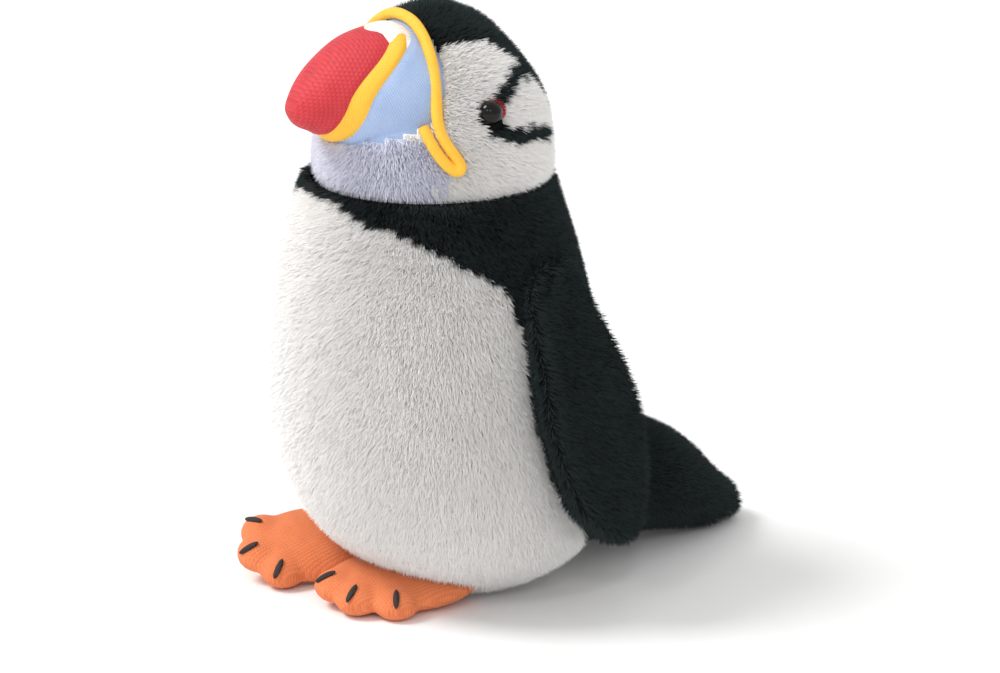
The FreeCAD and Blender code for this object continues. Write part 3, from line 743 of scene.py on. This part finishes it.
class PUFFIN_OT_head(Build, bpy.types.Operator):
    """Builds the head: its skin, crown, cheek and chin pile and the dark eye stripes"""
    bl_idname = "puffin.head"
    bl_label = "Head"

    def build(self, scene):
        sizes, pile = scene.puffin_body, scene.puffin_pile
        keys = [ring[0] for ring in HEAD_RINGS]
        heights = [-1.6, -1.2, -0.6, 0.2, 1.2] + list(np.linspace(2.4, 38, 28)) + [39.4, 40.3]
        radii = spline(keys, [ring[1] for ring in HEAD_RINGS], heights)
        for i, tuck in enumerate((5.0, 3.2, 1.5, 0.6, 0.1)):
            radii[i] -= tuck
        rings = [(0.0, HEAD_CENTRE * MM, (HEAD_SEAM + h) * MM, (r - 0.35) * MM, (r - 0.35) * MM)
                 for h, r in zip(heights, radii)]
        skin = swept("head_skin", rings, sizes.segments, close_start=True)
        colours = ["white_pile", "black_pile", "chin_pile", "blue_tricot"]
        for colour in colours:
            skin.data.materials.append(MADE[colour])
        for face in skin.data.polygons:
            bare = "blue_tricot" if in_beak(face.center / MM) else "black_pile"
            face.material_index = colours.index(head_dye(face.center / MM) or bare)

        def comb(p):
            return (0.35 * p[0] / 28.0, 0.9, -0.75)

        for name, colour, density, seed in (("cheek_pile", "white_pile", pile.white_density, 41),
                                            ("crown_pile", "black_pile", pile.black_density, 42),
                                            ("chin_pile", "chin_pile", pile.white_density, 43)):
            planted(skin, name, lambda p, c=colour: p[2] > HEAD_SEAM + 0.2 and head_dye(p) == c,
                    comb, colour, density * 1.15, seed, "head", 0.9)
        ridden(skin, "head",
               nodes=("crown_panel", "chin_panel", "cheek_panel_left", "cheek_panel_right", "head_stuffing"))


# beak sections in the beak's own frame: place along it, height, half height, half width
BEAK_SECTIONS = [(50, 115.3, 17.3, 21.6), (54, 115.6, 17.5, 22.0), (57.5, 115.8, 16.8, 20.6),
                 (60.5, 115.9, 15.8, 18.6), (64.4, 115.4, 14.3, 15.6), (68.6, 114.6, 12.6, 12.2),
                 (73.5, 112.5, 9.4, 8.8), (77.3, 109.7, 5.6, 5.4), (79.0, 108.2, 2.6, 2.7)]
SEAM_RED = 69.8
SEAM_BLUE = 65.8
SEAM_WIDTH = 0.75
BEAK_SEGMENTS = 96
# how far the beak's upper side is swept back
SWING = 7.5


def beak_section(place):
    """Height, half height and half width of the beak at a place along it."""
    keys = [section[0] for section in BEAK_SECTIONS]
    return [spline(keys, [section[i] for section in BEAK_SECTIONS], [place])[0] for i in (1, 2, 3)]


class PUFFIN_OT_beak(Build, bpy.types.Operator):
    """Builds the stuffed beak of a blue root, a yellow band and a red tip"""
    bl_idname = "puffin.beak"
    bl_label = "Beak"

    def build(self, scene):
        beak = scene.puffin_beak
        places = [*np.linspace(50, SEAM_BLUE, 22), *np.linspace(SEAM_BLUE, SEAM_RED, 9)[1:],
                  *np.linspace(SEAM_RED, 77.6, 18)[1:], 78.2, 78.7, 79.0]
        rings = [(0.0, c * MM, w * MM, wide * MM, tall * MM)
                 for w, (c, tall, wide) in zip(places, map(beak_section, places))]
        whole = swept("beak_whole", rings, BEAK_SEGMENTS)
        parts = (("beak_tip", "red_knit", SEAM_RED, 99.0), ("beak_band", "yellow_knit", SEAM_BLUE, SEAM_RED),
                 ("beak_base", "blue_tricot", 0.0, SEAM_BLUE))
        for name, colour, low, high in parts:
            piece = part_of(whole, name, lambda p, a=low, b=high: a < p[2] < b)
            for vertex in piece.data.vertices:
                x, y, w = vertex.co / MM
                c, tall, wide = beak_section(w)
                side, up = x / wide, (y - c) / tall
                follow = max(0.0, min(1.0, (w - 54.0) / 10.0, (78.6 - w) / 9.0))
                swing = SWING * max(0.0, up + 0.15) ** 2 * follow
                c, tall, wide = beak_section(w - swing)
                pinch = 1.0
                for seam in (SEAM_RED, SEAM_BLUE):
                    pinch -= beak.pinch * math.exp(-((w - seam) / SEAM_WIDTH) ** 2)
                vertex.co = Vector((side * wide * pinch, c + up * tall * pinch, w - swing)) * MM
            piece.rotation_euler = (math.pi / 2 - beak.tilt, 0, 0)
            fixed(piece)
            ridden(piece, "head", colour, (name + "_left", name + "_right"))
        bpy.data.objects.remove(whole)


PIPING = [(0.0, -11.6, 145.9), (5.6, -11.3, 145.3), (12.0, -11.8, 142.4), (17.2, -12.6, 137.4),
          (21.0, -13.9, 131.2), (23.3, -15.2, 125.6), (25.2, -14.8, 121.2), (27.2, -12.6, 117.4),
          (28.5, -11.2, 114.8), (28.6, -12.2, 113.4), (27.6, -14.0, 114.4), (26.0, -16.2, 117.4),
          (24.2, -17.6, 120.8), (22.0, -18.0, 123.6)]


class PUFFIN_OT_piping(Build, bpy.types.Operator):
    """Builds the yellow piping round the beak's root, folded back at each corner"""
    bl_idname = "puffin.piping"
    bl_label = "Piping"

    def build(self, scene):
        points = [(-x, y, z) for x, y, z in PIPING[:0:-1]] + PIPING
        fresh()
        bpy.ops.curve.primitive_nurbs_path_add()
        obj = bpy.context.object
        obj.name = "gape_piping_roll"
        curve = obj.data
        curve.splines.clear()
        path = curve.splines.new("NURBS")
        path.points.add(len(points) - 1)
        for point, spot in zip(path.points, points):
            point.co = (*(Vector(spot) * MM), 1.0)
        path.use_endpoint_u = True
        path.order_u = 4
        curve.resolution_u = 8
        curve.bevel_depth = scene.puffin_beak.piping_radius
        curve.bevel_resolution = 5
        curve.use_fill_caps = True
        bpy.ops.object.convert(target="MESH")
        obj = bpy.context.object
        bpy.ops.object.shade_smooth()
        ridden(fixed(obj), "head", "yellow_knit",
               ("gape_piping", "gape_rosette_left", "gape_rosette_right"))


FELT_THICKNESS = 0.9 * MM
FELT_DEPTH = 0.4 * MM


class PUFFIN_OT_eyes(Build, bpy.types.Operator):
    """Builds the bead eyes on their felt discs"""
    bl_idname = "puffin.eyes"
    bl_label = "Eyes"

    def build(self, scene):
        eye = scene.puffin_eye
        for side, sign in (("left", 1), ("right", -1)):
            middle = Vector((EYE[0] * sign, EYE[1], EYE[2])) * MM
            out = Vector((sign * 0.87, 0.04, 0.5)).normalized()
            turn = out.to_track_quat("Z", "Y").to_euler()
            bead = ball("eye_bead_" + side, (eye.radius,) * 3, middle, turn, 48)
            ridden(bead, "head", "eye_plastic", ("eye_" + side,))
            peek = Vector((-0.6 * sign, 1.9, 0.9)) * MM
            behind = middle + peek - out * FELT_DEPTH
            felt = ball("eye_felt_disc_" + side, (eye.felt, eye.felt, FELT_THICKNESS), behind, turn, 40)
            applied(felt, "DISPLACE", strength=0.0006, mid_level=0.5,
                    texture=bpy.data.textures.new("felt_edge", "CLOUDS"))
            ridden(felt, "head", "red_felt", ("eye_felt_" + side,))


WING_AZIMUTH = 30
WING_SPLAY = 9.4


class PUFFIN_OT_wings(Build, bpy.types.Operator):
    """Builds the flat padded wings with dark pile on both faces"""
    bl_idname = "puffin.wings"
    bl_label = "Wings"

    def build(self, scene):
        pile = scene.puffin_pile
        azimuth, splay = math.radians(WING_AZIMUTH), math.radians(WING_SPLAY)
        for side, sign in (("left", 1), ("right", -1)):
            nodes = ["wing_inner_panel_" + side, "wing_batting_" + side, "wing_outer_panel_" + side]
            pad = softened(copied(nodes, "wing_pad_" + side), 0.0009, 12)
            out = Vector((sign * math.cos(azimuth) * math.cos(splay), math.sin(azimuth) * math.cos(splay),
                          math.sin(splay)))
            inner = [Vector(v.co).dot(out) / MM for v in pad.data.vertices]
            front = Vector((sign * math.sin(azimuth), -math.cos(azimuth), 0))
            base = min(inner) * MM
            for vertex in pad.data.vertices:
                lift = Vector(vertex.co).dot(out) - base
                below = max(0.0, min(1.0, (0.089 - vertex.co.z) / 0.034))
                ahead = Vector(vertex.co).dot(front)
                near_edge = max(0.0, min(1.0, (ahead - 0.004) / 0.012))
                thin = (0.25 + 0.75 * below * below * (3 - 2 * below)) * (1.0 - 0.35 * near_edge)
                vertex.co += out * (lift * (thin - 1.0)) + front * (0.004 * near_edge * below)
            inner = [Vector(v.co).dot(out) / MM for v in pad.data.vertices]
            middle = min(inner) + 1.3
            faces = (("outer", lambda p: Vector(p).dot(out) >= middle, pile.black_density),
                     ("inner", lambda p: Vector(p).dot(out) < middle, pile.hidden_density))
            furs = []
            for name, keep, density in faces:
                short = 0.6 if name == "inner" else 1.0
                furs.append(planted(pad, "wing_%s_pile_%s" % (name, side), keep, lambda p: (0, 0.35, -1),
                                    "black_pile", density, 51 + sign, None, short))
            ridden(pad, None, "black_pile", nodes)
            for obj in (pad, *furs):
                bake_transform(obj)


# tail sections: place along it, height, half width, half height
TAIL_OVALS = [(36, 19.5, 18.5, 14.5), (46, 19, 17.5, 14), (58, 17, 16.4, 13), (69, 12.4, 13.2, 10.4),
              (79, 6.5, 8, 5.9), (84, 4.6, 4.6, 3.6)]


class PUFFIN_OT_tail(Build, bpy.types.Operator):
    """Builds the stuffed tail with dark pile"""
    bl_idname = "puffin.tail"
    bl_label = "Tail"

    def build(self, scene):
        pile = scene.puffin_pile
        keys = [oval[0] for oval in TAIL_OVALS]
        places = list(np.linspace(36, 84, 40))
        columns = [spline(keys, [oval[i] for oval in TAIL_OVALS], places) for i in (1, 2, 3)]
        rings = [(0.0, z * MM, -y * MM, (wide - 0.35) * MM, (tall - 0.35) * MM)
                 for y, z, wide, tall in zip(places, *columns)]
        pad = swept("tail_pad", rings, 110)
        pad.rotation_euler = (math.pi / 2, 0, 0)
        fixed(pad)
        furs = []
        for name, keep in (("top", lambda p: p[2] > 22 - 0.36 * (p[1] - 36)),
                           ("bottom", lambda p: 3.2 < p[2] <= 22 - 0.36 * (p[1] - 36))):
            furs.append(planted(pad, "tail_pile_" + name, keep, lambda p: (0, 1, -0.5), "black_pile",
                                pile.black_density, 61, None))
        ridden(pad, None, "black_pile", ("tail_top_panel", "tail_bottom_panel"))
        for obj in (pad, *furs):
            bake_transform(obj)


# feet: middle, turn, roll and the way the middle toe points
FEET = {"left": ((10.2, -18.6, 5.2), -23.5, 10.0, 44.0), "right": ((-16.4, -27.2, 7.6), -20.0, 25.0, 10.0)}


TOE_SPREAD = 38.0
TOE_REACH = 0.80


class PUFFIN_OT_feet(Build, bpy.types.Operator):
    """Builds the two knit feet with rounded toes and stitched claws"""
    bl_idname = "puffin.feet"
    bl_label = "Feet"

    def build(self, scene):
        foot = scene.puffin_foot
        for side, (centre, yaw, roll, toes) in FEET.items():
            wide, long, thick = foot.half_width, foot.half_length, foot.half_thickness
            solids = [ball("pad", (wide, long, thick))]
            claws = []
            for turn in (-TOE_SPREAD, 0.0, TOE_SPREAD):
                way = math.radians(toes + turn)
                spot = (math.sin(way) * wide * TOE_REACH, -math.cos(way) * long * TOE_REACH, 0.0)
                aim = math.atan2(spot[0] / wide ** 2, -spot[1] / long ** 2)
                solids.append(ball("toe", (0.0060, 0.0064, thick * 0.76), spot, (0, 0, aim)))
                tip = Vector(spot) + Vector((math.sin(aim), -math.cos(aim), 0)) * 0.0036
                claws.append(ball("claw", (0.0008, 0.0028, 0.0008), tip + Vector((0, 0, thick * 0.62)),
                                  (math.radians(24), 0, aim)))
            pad = softened(joined(solids, "foot_" + side), foot.voxel, 10)
            stitches = joined(claws, "foot_stitches_" + side)
            for obj in (pad, stitches):
                obj.rotation_euler = (0, math.radians(roll), math.radians(yaw))
                obj.location = Vector(centre) * MM
                fixed(obj)
            fresh()
            bpy.context.view_layer.objects.active = pad
            bpy.ops.object.mode_set(mode="EDIT")
            bpy.ops.mesh.select_all(action="SELECT")
            bpy.ops.mesh.bisect(plane_co=(0, 0, FLOOR_GAP), plane_no=(0, 0, 1), clear_inner=True,
                                use_fill=True)
            bpy.ops.mesh.select_all(action="SELECT")
            bpy.ops.mesh.remove_doubles(threshold=0.05 * MM)
            bpy.ops.mesh.dissolve_degenerate(threshold=0.02 * MM)
            bpy.ops.mesh.quads_convert_to_tris()
            bpy.ops.mesh.normals_make_consistent(inside=False)
            bpy.ops.object.mode_set(mode="OBJECT")
            ridden(pad, "foot_" + side, "orange_knit",
                   ["foot_upper_" + side, "foot_sole_" + side, "foot_stuffing_" + side])
            ridden(stitches, "foot_" + side, "claw_thread", ["foot_claws_" + side])


class PUFFIN_OT_inside(Build, bpy.types.Operator):
    """Gives the sealed pieces inside their own materials"""
    bl_idname = "puffin.inside"
    bl_label = "Inside pieces"

    def build(self, scene):
        slots = {"beak_stuffing": "fibre_fill", "tail_stuffing": "fibre_fill", "pellet_bag": "bag_cloth",
                 "pellets": "pellet_plastic", "eye_washer_left": "washer_plastic",
                 "eye_washer_right": "washer_plastic"}
        for node, material in slots.items():
            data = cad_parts[node].data
            data.materials.clear()
            data.materials.append(MADE[material])


class PUFFIN_OT_stage(Build, bpy.types.Operator):
    """Sets up the pale floor, the soft light and the camera"""
    bl_idname = "puffin.stage"
    bl_label = "Stage"

    def build(self, scene):
        stage = scene.puffin_stage
        fresh()
        bpy.ops.mesh.primitive_plane_add(size=14.0)
        floor = bpy.context.object
        floor.name = "floor"
        cloth = Tree("floor_paper")
        place = cloth.place()
        grain = cloth.noise(*place, 0.05, 2.0)
        floor.data.materials.append(cloth.set(
            Base_Color=cloth.mix(grain, (0.93, 0.925, 0.92), (0.95, 0.945, 0.94)), Roughness=0.9,
            Specular_IOR_Level=0.0))

        world = bpy.data.worlds.new("studio")
        world.use_nodes = True
        scene.world = world
        tree = world.node_tree
        sky = tree.nodes["Background"]
        white = tree.nodes.new("ShaderNodeBackground")
        mix = tree.nodes.new("ShaderNodeMixShader")
        path = tree.nodes.new("ShaderNodeLightPath")
        sky.inputs["Color"].default_value = (1, 1, 1, 1)
        sky.inputs["Strength"].default_value = stage.sky
        white.inputs["Color"].default_value = (1, 1, 1, 1)
        tree.links.new(path.outputs["Is Camera Ray"], mix.inputs[0])
        tree.links.new(sky.outputs[0], mix.inputs[1])
        tree.links.new(white.outputs[0], mix.inputs[2])
        tree.links.new(mix.outputs[0], tree.nodes["World Output"].inputs[0])

        for name, kind, spot, power, spread in (
                ("sun_key", "SUN", (-0.9, -1.6, 2.4), stage.sun, math.radians(22)),
                ("glint_left", "AREA", (0.42, -0.75, 0.75), 0.9, 0.14),
                ("glint_right", "AREA", (0.95, -0.45, 0.85), 0.9, 0.10)):
            bpy.ops.object.light_add(type=kind, location=spot)
            light = bpy.context.object
            light.name = name
            light.data.energy = power
            if kind == "SUN":
                light.data.angle = spread
            else:
                light.data.size = spread
            aim = Vector((0, 0.0, 0.07)) - Vector(spot)
            light.rotation_euler = aim.to_track_quat("-Z", "Y").to_euler()

        target = Vector((0, 0.0155, 0.0604))
        back = Vector((math.sin(stage.azimuth) * math.cos(stage.elevation),
                       -math.cos(stage.azimuth) * math.cos(stage.elevation), math.sin(stage.elevation)))
        bpy.ops.object.camera_add(location=target + back * stage.distance)
        camera = bpy.context.object
        camera.rotation_euler = back.to_track_quat("Z", "Y").to_euler()
        camera.data.lens = stage.lens
        camera.data.sensor_width = 36.0
        camera.data.clip_end = 30.0
        scene.camera = camera
        scene.view_settings.view_transform = "Standard"


# ---------------------------------------------------------------- panel and registration
STEPS = ("torso", "collar", "head", "beak", "piping", "eyes", "wings", "tail", "feet", "inside", "stage")


class PUFFIN_PT_panel(bpy.types.Panel):
    """Buttons for each step, in order"""
    bl_idname = "PUFFIN_PT_panel"
    bl_label = "Plush puffin"
    bl_space_type = "VIEW_3D"
    bl_region_type = "UI"
    bl_category = "Plush puffin"

    def draw(self, context):
        for step in STEPS:
            self.layout.operator("puffin." + step)
        for name in GROUPS:
            box = self.layout.box()
            group = getattr(context.scene, name)
            for key in group.__annotations__:
                box.prop(group, key)


GROUPS = {"puffin_pile": PUFFIN_PG_pile, "puffin_body": PUFFIN_PG_body, "puffin_beak": PUFFIN_PG_beak,
          "puffin_eye": PUFFIN_PG_eye, "puffin_foot": PUFFIN_PG_foot, "puffin_stage": PUFFIN_PG_stage}
CLASSES = (*GROUPS.values(), PUFFIN_OT_torso, PUFFIN_OT_collar, PUFFIN_OT_head, PUFFIN_OT_beak,
           PUFFIN_OT_piping, PUFFIN_OT_eyes, PUFFIN_OT_wings, PUFFIN_OT_tail, PUFFIN_OT_feet,
           PUFFIN_OT_inside, PUFFIN_OT_stage, PUFFIN_PT_panel)


def register():
    for item in CLASSES:
        bpy.utils.register_class(item)
    for name, group in GROUPS.items():
        setattr(bpy.types.Scene, name, PointerProperty(type=group))


def unregister():
    for name in GROUPS:
        delattr(bpy.types.Scene, name)
    for item in reversed(CLASSES):
        bpy.utils.unregister_class(item)


def main():
    register()
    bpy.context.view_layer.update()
    make_materials()
    for step in STEPS:
        getattr(bpy.ops.puffin, step)()


if __name__ == "__main__":
    main()
